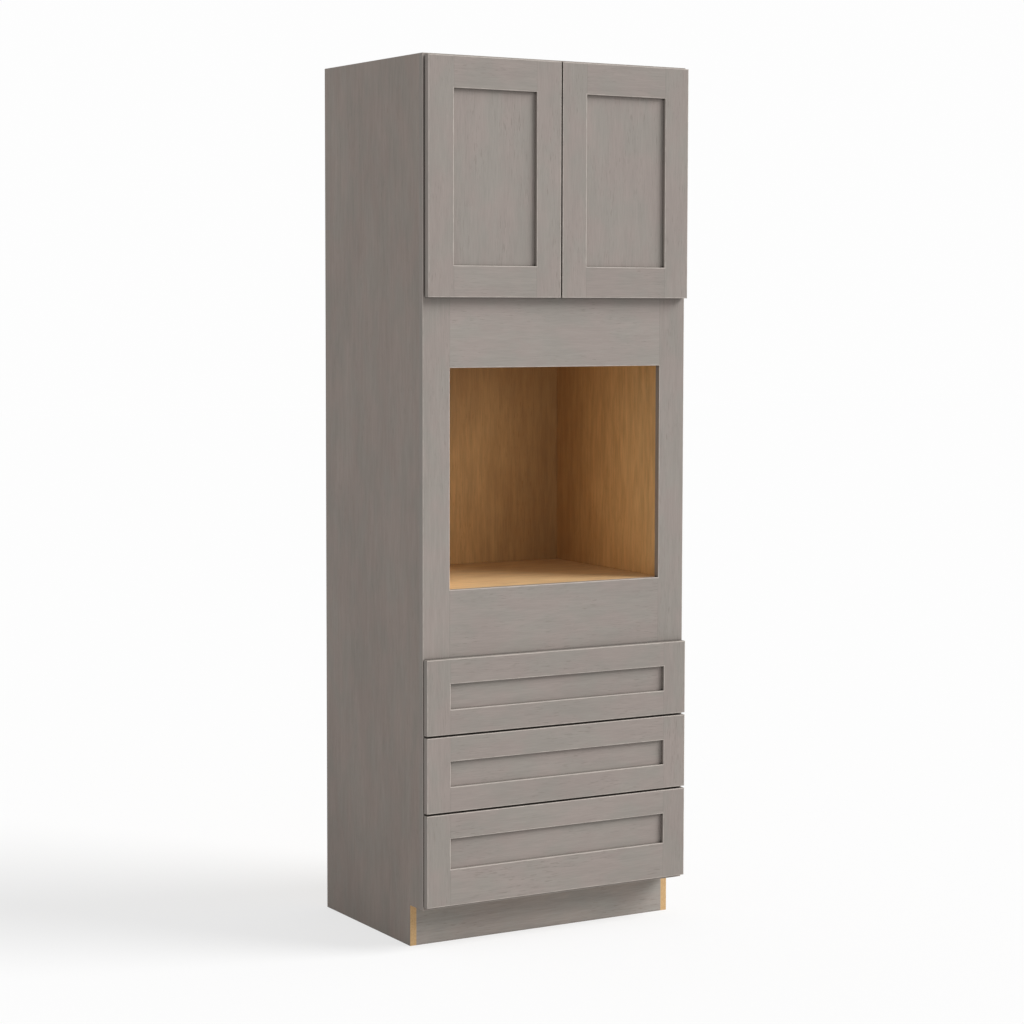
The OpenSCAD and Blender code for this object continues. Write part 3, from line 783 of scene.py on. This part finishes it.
class Workshop:
    """Makes each material once and puts it on the pieces."""

    def __init__(self) -> None:
        """Starts with no material made."""
        self.made: dict[tuple[object, ...], bpy.types.Material] = {}

    def material(self, finish: Finish, *how: object) -> bpy.types.Material:
        """Gives the material of a finish, made on first use.

        Args:
            finish: The finish.
            *how: What the finish's own material method takes.

        Returns:
            The material.
        """
        key = (finish, *how)
        if key not in self.made:
            self.made[key] = finish.material(*how)
        return self.made[key]

    def dress(self, nodes: Sequence[str], finish: Finish, *how: object) -> None:
        """Puts a finish on pieces of the model.

        Args:
            nodes: Names of the pieces.
            finish: Their finish.
            *how: What the finish's own material method takes.
        """
        coat = self.material(finish, *how)
        for name in nodes:
            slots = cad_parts[name].data.materials
            slots.clear()
            slots.append(coat)
            LOG.info("dressed %s in %s", name, coat.name)

    def add(self, name: str, build: Fill, body: str, slot: str,
            coat: bpy.types.Material) -> bpy.types.Object:
        """Adds a new piece that rides on a body of the model.

        Args:
            name: Name of the piece.
            build: Function that fills the mesh.
            body: The body that carries it.
            slot: Not used.
            coat: Its material.

        Returns:
            The new piece.
        """
        mesh = bpy.data.meshes.new(name)
        shape = bmesh.new()
        build(shape)
        bmesh.ops.recalc_face_normals(shape, faces=shape.faces)
        shape.to_mesh(mesh)
        shape.free()
        mesh.materials.append(coat)
        piece = bpy.data.objects.new(name, mesh)
        bpy.context.scene.collection.objects.link(piece)
        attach(piece, body)
        LOG.info("added %s, %d faces, on %s", name, len(mesh.polygons), body)
        return piece


# ---------- small hardware ----------


class Lathe:
    """Turns one small part in a mesh, about the axis that it stands on."""

    def __init__(self, shape: bmesh.types.BMesh, foot: Vector, out: Vector) -> None:
        """Sets up the axis.

        Args:
            shape: Mesh that takes the part.
            foot: Middle of its underside.
            out: Direction that its top faces.
        """
        self.shape = shape
        self.seat = Matrix.Translation(foot) @ out.to_track_quat("Z", "Y").to_matrix().to_4x4()

    def point(self, x: float, y: float, z: float) -> Corner:
        """One corner, at a place beside the axis and a height over the foot."""
        return self.shape.verts.new(self.seat @ Vector((x, y, z)))

    def ring(self, radius: float, z: float, sides: int) -> list[Corner]:
        """A circle of corners about the axis."""
        angles = [2 * math.pi * i / sides for i in range(sides)]
        return [self.point(radius * math.cos(a), radius * math.sin(a), z) for a in angles]

    def band(self, low: list[Corner], high: list[Corner]) -> None:
        """Adds the faces between two loops of corners.

        Args:
            low: First loop.
            high: Second loop, with as many corners.
        """
        for i in range(len(low)):
            j = (i + 1) % len(low)
            self.shape.faces.new((low[i], low[j], high[j], high[i]))

    def turn(self, part: "Screw | Dot") -> list[Corner]:
        """Turns the underside and the round side of a part.

        Args:
            part: The part, with its profile in shares of its radius and height.

        Returns:
            The corners of the last step of the profile.
        """
        rings = [self.ring(part.radius * reach, part.height * rise, part.sides)
                 for reach, rise in part.profile]
        for low, high in zip(rings, rings[1:]):
            self.band(low, high)
        self.shape.faces.new(rings[0][::-1])
        return rings[-1]


@dataclass(frozen=True)
class Screw:
    """Screw with a domed head and a cross recess, seen from its head."""

    radius: float = 0.0035
    height: float = 0.0018
    arm: float = 0.46
    slit: float = 0.11
    sunk: float = 0.7
    taper: float = 0.6
    sides: int = 24
    profile: tuple[tuple[float, float], ...] = (
        (1.0, 0.0), (1.0, 0.4), (0.93, 0.68), (0.8, 0.88), (0.62, 1.0))

    def cross(self, lathe: Lathe, gain: float, z: float) -> list[Corner]:
        """Adds the twelve corners of a cross.

        Args:
            lathe: Where the head is turned.
            gain: Size against that of the cross on the head's top.
            z: Height over the foot.

        Returns:
            The corners, one after another.
        """
        long, thin = self.arm * self.radius * gain, self.slit * self.radius * gain
        quarter = [(long, -thin), (long, thin), (thin, thin)]
        quarter_turns = [(1, 0), (0, 1), (-1, 0), (0, -1)]
        return [lathe.point(c * x - s * y, s * x + c * y, z)
                for c, s in quarter_turns for x, y in quarter]

    def build(self, shape: bmesh.types.BMesh, foot: Vector, out: Vector) -> None:
        """Adds one head.

        Args:
            shape: Mesh that takes the head.
            foot: Middle of its underside.
            out: Direction that the head faces.
        """
        lathe = Lathe(shape, foot, out)
        crown = lathe.turn(self)
        top = self.cross(lathe, 1.0, self.height)
        bottom = self.cross(lathe, self.taper, self.height * (1 - self.sunk))
        lathe.band(top, bottom)
        shape.faces.new(bottom)
        edges = []
        for loop in (crown, top):
            for pair in zip(loop, loop[1:] + loop[:1]):
                edges.append(shape.edges.get(pair) or shape.edges.new(pair))
        bmesh.ops.triangle_fill(shape, use_beauty=True, edges=edges)


@dataclass(frozen=True)
class Dot:
    """Soft domed dot that a front closes against."""

    radius: float = 0.004
    height: float = 0.0021
    sides: int = 28
    profile: tuple[tuple[float, float], ...] = (
        (1.0, 0.0), (1.0, 0.35), (0.94, 0.62), (0.8, 0.84), (0.55, 0.97), (0.25, 1.0))

    def build(self, shape: bmesh.types.BMesh, foot: Vector, out: Vector) -> None:
        """Adds one dot.

        Args:
            shape: Mesh that takes the dot.
            foot: Middle of its flat side.
            out: Direction that the dome faces.
        """
        shape.faces.new(Lathe(shape, foot, out).turn(self))


def build_all(part: Screw | Dot, seats: Sequence[Seat]) -> Fill:
    """Prepares the building of several equal small parts in one mesh.

    Args:
        part: The small part.
        seats: Foot and direction of each copy.

    Returns:
        A function that fills a mesh.
    """
    def build(shape: bmesh.types.BMesh) -> None:
        """Adds every copy."""
        for foot, out in seats:
            part.build(shape, foot, out)
    return build


def shaker_frontage(stiles: str, rails: str, groove: float = 0.010) -> Frontage:
    """Finds the outer and inner edges of a shaker front.

    Args:
        stiles: Name of its stiles.
        rails: Name of its rails.
        groove: Length of the tongues of the rails.

    Returns:
        The edges and joints of the front.
    """
    low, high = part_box(stiles)
    rail_low, rail_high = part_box(rails)
    levels = {round(corner.co.z, 5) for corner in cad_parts[rails].data.vertices}
    middle = (low.z + high.z) / 2
    under = max(z for z in levels if z < middle)
    above = min(z for z in levels if z > middle)
    left, right = rail_low.x + groove, rail_high.x - groove
    outlines = Outline(low.x, high.x, low.z, high.z), Outline(left, right, under, above)
    return Frontage(low.y, outlines, (left, right))


def opening_half() -> float:
    """Half the width of the opening between the narrow stiles."""
    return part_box("top_rail")[1].x


# ---------- sub-assemblies ----------


@dataclass
class Case:
    """The plywood box: sides, back, top, decks, toe boards and nailing rails."""

    shop: Workshop
    side_ply: Plywood = Plywood("side_panel", VENEER, BIRCH, Axis.ACROSS)
    deck_ply: Plywood = Plywood("birch_ply", DECKING, DECKING, Axis.UPRIGHT)
    back_ply: Plywood = Plywood("back_ply", BACKING, BACKING, Axis.DEEP)
    toe_ply: Plywood = Plywood("toe_ply", TOE_VENEER, BIRCH, Axis.DEEP)

    def dress(self) -> None:
        """Puts the stained and lacquered veneers on the boards of the case."""
        for side in Side:
            self.shop.dress([f"{side.word}_side"], self.side_ply, Axis.UPRIGHT, side.value)
        decks = ["top_panel", "upper_deck", "oven_deck", "bottom_deck"]
        self.shop.dress(decks, self.deck_ply, Axis.ACROSS)
        self.shop.dress(["back_panel"], self.back_ply, Axis.UPRIGHT)
        self.shop.dress(["toe_kick"], self.toe_ply, Axis.ACROSS, -1)
        self.shop.dress(["rear_toe_board", "nailers"], BATTEN, Axis.ACROSS)


@dataclass
class FaceFrame:
    """The stained hardwood frame on the front of the case."""

    shop: Workshop
    # Width of the worn edges with a painted highlight, and its gain round the oven opening.
    rubbed_width: float = 0.0020
    opening_rub: float = 1.5

    def frontage(self, joints: tuple[float, ...] = ()) -> Frontage:
        """Finds the outer edges of the frame and the edges of the oven opening.

        Args:
            joints: Where the rails of this material meet the stiles.

        Returns:
            The edges and joints of the frame.
        """
        low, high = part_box("left_stile")[0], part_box("right_stile")[1]
        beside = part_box("oven_top_rail")[1].x
        under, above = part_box("oven_bottom_rail")[1].z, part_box("oven_top_rail")[0].z
        opening = Outline(-beside, beside, under, above, self.opening_rub)
        outlines = Outline(low.x, high.x, low.z, high.z), opening
        return Frontage(low.y, outlines, joints, width=self.rubbed_width)

    def dress(self) -> None:
        """Puts the stain on the stiles and rails, with the grain along each of them."""
        stiles = [f"{side.word}_stile" for side in Side]
        self.shop.dress(stiles, FRAMING, Axis.UPRIGHT, self.frontage())
        for rails, finish in (
            (["oven_top_rail"], LIGHT_BOARD),
            (["oven_bottom_rail"], FRAMING),
            (["top_rail", "drawer_rails", "bottom_rail"], FRAMING),
        ):
            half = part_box(rails[0])[1].x
            self.shop.dress(rails, finish, Axis.ACROSS, self.frontage((-half, half)))


@dataclass
class OvenCompartment:
    """The lined space for the oven."""

    shop: Workshop
    liner_ply: Plywood = Plywood("liner_ply", LINING, LINING, Axis.ACROSS)

    def dress(self) -> None:
        """Puts the lacquered veneer on the lining and leaves the battens behind it rough."""
        liners = [f"{side.word}_liner" for side in Side]
        self.shop.dress(liners, self.liner_ply, Axis.UPRIGHT)
        self.shop.dress(["furring_strips"], BATTEN, Axis.UPRIGHT)
        self.shop.dress(["deck_cleats"], BATTEN, Axis.DEEP)


@dataclass
class UpperCompartment:
    """The loose shelf behind the doors, on its four pins."""

    shop: Workshop
    shelf_ply: Plywood = Plywood("shelf_ply", BIRCH, BIRCH, Axis.UPRIGHT)

    def dress(self) -> None:
        """Puts the lacquered veneer on the shelf and the plate on its pins."""
        self.shop.dress(["shelf"], self.shelf_ply, Axis.ACROSS)
        self.shop.dress(["shelf_pins"], NICKEL, Axis.ACROSS)


@dataclass
class SlideMounts:
    """The fixed channels of the slides, their rear brackets and the hinge arms."""

    shop: Workshop

    def dress(self) -> None:
        """Puts the plate on the steel and the grey nylon on the brackets."""
        self.shop.dress(["slide_channels"], ZINC, Axis.DEEP)
        self.shop.dress(["hinge_arms"], NICKEL, Axis.UPRIGHT)
        self.shop.dress(["slide_brackets"], NYLON)


@dataclass
class Door:
    """One shaker door with its two cup hinges and soft dots."""

    shop: Workshop
    side: Side
    ear: float = 0.032
    ear_screw: float = 0.026
    plate: float = 0.0016
    plate_screw: float = 0.0147
    ear_head: Screw = Screw(0.0036, 0.0018)
    plate_head: Screw = Screw(0.0036, 0.0016)

    def dress(self) -> None:
        """Puts the stain on the door and the plate on its hinges."""
        word = self.side.word
        frontage = shaker_frontage(f"{word}_door_stiles", f"{word}_door_rails")
        plain = replace(frontage, joints=())
        self.shop.dress([f"{word}_door_stiles"], STAINED, Axis.UPRIGHT, plain)
        self.shop.dress([f"{word}_door_panel"], STAINED, Axis.UPRIGHT)
        self.shop.dress([f"{word}_door_rails"], STAINED, Axis.ACROSS, frontage)
        self.shop.dress([f"{word}_hinge_cups"], NICKEL, Axis.UPRIGHT)
        self.shop.dress([f"{word}_bumpers"], SOFT_DOT)

    def build(self) -> None:
        """Adds the screws of the cups on the door and of the plates on the frame."""
        word = self.side.word
        low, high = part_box(f"{word}_hinge_cups")
        hinges = low.z + self.ear, high.z - self.ear
        steel = self.shop.material(NICKEL, Axis.UPRIGHT)

        cup_x = (low.x + high.x) / 2
        cups = [(Vector((cup_x, high.y, z + s * self.ear_screw)), REARWARD)
                for z in hinges for s in (-1, 1)]
        self.shop.add(f"{word}_cup_screws", build_all(self.ear_head, cups), f"{word}_door",
                      "hinge_steel", steel)

        stile_low, stile_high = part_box(f"{word}_stile")
        middle = (stile_low.y + stile_high.y) / 2
        inward = Vector((-self.side.value, 0, 0))
        plate_x = self.side.value * (opening_half() - self.plate)
        plates = [(Vector((plate_x, middle, z + s * self.plate_screw)), inward)
                  for z in hinges for s in (-1, 1)]
        self.shop.add(f"{word}_plate_screws", build_all(self.plate_head, plates), "cabinet",
                      "hinge_steel", steel)


@dataclass
class Drawer:
    """One shaker drawer on its pair of telescopic slides."""

    shop: Workshop
    name: str
    board: float = 0.0159
    front_screw_inset: float = 0.12
    front_screw_levels: tuple[float, float] = (0.4, 0.8)
    dot_inset: float = 0.016
    lift: float = 0.0075
    flange: float = 0.0015
    flange_screw: float = 0.020
    lug: float = 0.003
    lug_screw: float = 0.0251
    lug_screw_inset: float = 0.010
    bracket_width: float = 0.049
    bottom_ply: Plywood = Plywood("drawer_bottom", PALE_BIRCH, PALE_BIRCH, Axis.UPRIGHT)
    front_head: Screw = Screw(0.0052, 0.0022)
    slide_head: Screw = Screw(0.0036, 0.0016)
    dot: Dot = Dot()

    def dress(self) -> None:
        """Puts the stain on the front, pale lacquer on the box and plate on the slides."""
        n = self.name
        frontage = shaker_frontage(f"{n}_front_stiles", f"{n}_front_rails")
        plain = replace(frontage, joints=())
        self.shop.dress([f"{n}_front_stiles"], STAINED, Axis.UPRIGHT, plain)
        self.shop.dress([f"{n}_front_rails"], STAINED, Axis.ACROSS, frontage)
        self.shop.dress([f"{n}_front_panel"], STAINED, Axis.ACROSS)
        self.shop.dress([f"{n}_box_sides"], PALE_BIRCH, Axis.DEEP)
        self.shop.dress([f"{n}_box_ends"], PALE_BIRCH, Axis.ACROSS)
        self.shop.dress([f"{n}_box_bottom"], self.bottom_ply, Axis.ACROSS)
        self.shop.dress([f"{n}_runners", f"{n}_middle_members"], ZINC, Axis.DEEP)

    def front_seats(self) -> list[Seat]:
        """Finds the screws that hold the front, on the inside of the box.

        Returns:
            Foot and direction of each screw.
        """
        box_low, box_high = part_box(f"{self.name}_box_ends")
        height = box_high.z - box_low.z
        inner = box_low.y + self.board
        reach = box_high.x - self.front_screw_inset
        return [(Vector((x, inner, box_low.z + share * height)), REARWARD)
                for x in (-reach, -reach / 3, reach / 3, reach)
                for share in self.front_screw_levels]

    def dot_seats(self) -> list[Seat]:
        """Finds the soft dots in the upper corners behind the front.

        Returns:
            Foot and direction of each dot.
        """
        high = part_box(f"{self.name}_front_stiles")[1]
        x, z = high.x - self.dot_inset, high.z - self.dot_inset
        return [(Vector((s * x, high.y, z)), REARWARD) for s in (-1, 1)]

    def slide_seats(self) -> list[Seat]:
        """Finds the screws of the fixed channels and of their rear brackets.

        Returns:
            Foot and direction of each screw.
        """
        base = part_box(f"{self.name}_box_ends")[0].z - self.lift
        stile_low, stile_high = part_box("left_stile")
        middle = (stile_low.y + stile_high.y) / 2
        opening = opening_half()
        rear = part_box("back_panel")[0].y - self.lug
        insets = self.lug_screw_inset, self.bracket_width - self.lug_screw_inset
        seats = []
        for side in Side:
            flange_x = side.value * (opening - self.flange)
            inward = Vector((-side.value, 0, 0))
            seats.append((Vector((flange_x, middle, base + self.flange_screw)), inward))
            for inset in insets:
                lug_x = side.value * (opening - inset)
                seats.append((Vector((lug_x, rear, base + self.lug_screw)), FORWARD))
        return seats

    def build(self) -> None:
        """Adds the screws of the front and the slides, and the soft dots behind the front."""
        n = self.name
        steel = self.shop.material(NICKEL, Axis.UPRIGHT)
        self.shop.add(f"{n}_front_screws", build_all(self.front_head, self.front_seats()),
                      f"{n}_drawer", "slide_steel", steel)
        self.shop.add(f"{n}_dots", build_all(self.dot, self.dot_seats()),
                      f"{n}_drawer", "bumper_rubber", self.shop.material(SOFT_DOT))
        self.shop.add(f"{n}_slide_screws", build_all(self.slide_head, self.slide_seats()),
                      "cabinet", "slide_steel", steel)


@dataclass
class OvenHousing:
    """The whole unit, built sub-assembly by sub-assembly."""

    shop: Workshop = field(default_factory=Workshop)
    drawers: tuple[str, ...] = ("top", "middle", "bottom")

    def build(self) -> None:
        """Dresses every piece and adds the small hardware."""
        for part in (Case, FaceFrame, OvenCompartment, UpperCompartment, SlideMounts):
            part(self.shop).dress()
        fronts = [Door(self.shop, side) for side in Side]
        fronts += [Drawer(self.shop, name) for name in self.drawers]
        for front in fronts:
            front.dress()
            front.build()


# ---------- studio ----------


def turned(first: Vector, second: Vector, angle: float) -> tuple[Vector, Vector]:
    """Turns two square axes by an angle, the first one towards the second."""
    c, s = math.cos(angle), math.sin(angle)
    return first * c + second * s, second * c - first * s


@dataclass(frozen=True)
class Viewpoint:
    """The camera, at the photograph's viewing angle."""

    place: tuple[float, float, float] = (-3.6150, -6.4829, 1.7924)
    yaw: float = math.radians(31.692)
    pitch: float = math.radians(-4.078)
    roll: float = math.radians(0.281)
    focal_px: float = 2579.6
    centre_px: tuple[float, float] = (620.0, 480.0)
    picture_px: float = 1024.0
    sensor_mm: float = 36.0

    def build(self) -> None:
        """Adds the camera and makes it the scene's own."""
        ahead = Vector((math.sin(self.yaw), math.cos(self.yaw), 0))
        right = Vector((math.cos(self.yaw), -math.sin(self.yaw), 0))
        ahead, up = turned(ahead, Vector((0, 0, 1)), self.pitch)
        right, up = turned(right, up, self.roll)
        data = bpy.data.cameras.new("camera")
        data.sensor_width = self.sensor_mm
        data.lens = self.focal_px * self.sensor_mm / self.picture_px
        data.shift_x = (self.picture_px / 2 - self.centre_px[0]) / self.picture_px
        data.shift_y = (self.centre_px[1] - self.picture_px / 2) / self.picture_px
        camera = bpy.data.objects.new("camera", data)
        axes = Matrix((right, up, -ahead)).transposed().to_4x4()
        camera.matrix_world = Matrix.Translation(self.place) @ axes
        bpy.context.scene.collection.objects.link(camera)
        bpy.context.scene.camera = camera


@dataclass(frozen=True)
class Studio:
    """Plain pale floor, white backdrop and soft light."""

    sky: float = 0.483
    backdrop: float = 0.985
    key: float = 0.98
    key_spread: float = math.radians(33)
    key_turn: float = math.radians(55)
    key_rise: float = math.radians(36)
    floor_half: float = 30.0
    floor_drop: float = 0.0002
    floor_colour: float = 0.928
    floor_bounce: float = 0.69
    floor_white: float = 0.675

    def light_world(self) -> None:
        """Lights the object evenly and shows the backdrop where the world is seen."""
        world = bpy.data.worlds.new("studio")
        graph = Graph(world)
        paths = graph.node("ShaderNodeLightPath", {}).outputs
        seen = graph.calc("MAXIMUM", paths["Is Camera Ray"], paths["Is Glossy Ray"],
                          paths["Is Transmission Ray"])
        inputs = {"Value": seen, "To Min": self.sky, "To Max": self.backdrop}
        strength = graph.node("ShaderNodeMapRange", inputs).outputs[0]
        back = graph.node("ShaderNodeBackground", {"Color": WHITE, "Strength": strength})
        graph.node("ShaderNodeOutputWorld", {"Surface": back.outputs[0]})
        bpy.context.scene.world = world

    def light_key(self) -> None:
        """Adds the soft main lamp, high on the right of the front."""
        data = bpy.data.lights.new("key", "SUN")
        data.energy = self.key * math.pi
        data.angle = self.key_spread
        lamp = bpy.data.objects.new("key", data)
        towards = Vector((
            math.sin(self.key_turn) * math.cos(self.key_rise),
            -math.cos(self.key_turn) * math.cos(self.key_rise),
            math.sin(self.key_rise),
        ))
        lamp.rotation_euler = towards.to_track_quat("Z", "Y").to_euler()
        bpy.context.scene.collection.objects.link(lamp)

    def floor_material(self) -> bpy.types.Material:
        """Paints the floor, which looks nearly white and keeps the shadow of the object.

        Returns:
            The material of the floor.
        """
        graph = Graph.paint("floor")
        paths = graph.node("ShaderNodeLightPath", {}).outputs
        seen = graph.calc("MAXIMUM", paths["Is Camera Ray"], paths["Is Glossy Ray"])
        colour = graph.mix(seen, grey(self.floor_bounce), grey(self.floor_colour))
        plain = graph.node("ShaderNodeBsdfDiffuse", {"Color": colour}).outputs[0]
        white = graph.node("ShaderNodeEmission", {"Strength": self.backdrop}).outputs[0]
        share = graph.calc("MULTIPLY", seen, self.floor_white)
        both = graph.node("ShaderNodeMixShader", {0: share, 1: plain, 2: white})
        graph.node("ShaderNodeOutputMaterial", {"Surface": both.outputs[0]})
        return graph.owner

    def lay_floor(self) -> None:
        """Lays the floor just under the object."""
        half, level = self.floor_half, -self.floor_drop
        corners = [(x * half, y * half, level) for x, y in ((-1, -1), (1, -1), (1, 1), (-1, 1))]
        mesh = bpy.data.meshes.new("floor")
        mesh.from_pydata(corners, [], [(0, 1, 2, 3)])
        mesh.materials.append(self.floor_material())
        floor = bpy.data.objects.new("floor", mesh)
        bpy.context.scene.collection.objects.link(floor)

    def build(self) -> None:
        """Sets up the light, the floor and how colours are shown."""
        bpy.context.scene.view_settings.view_transform = "Standard"
        self.light_world()
        self.light_key()
        self.lay_floor()


def main() -> None:
    """Builds the camera, the unit and the studio."""
    logging.basicConfig(level=logging.INFO, format="%(name)s: %(message)s")
    Viewpoint().build()
    OvenHousing().build()
    Studio().build()


if __name__ == "__main__":
    main()
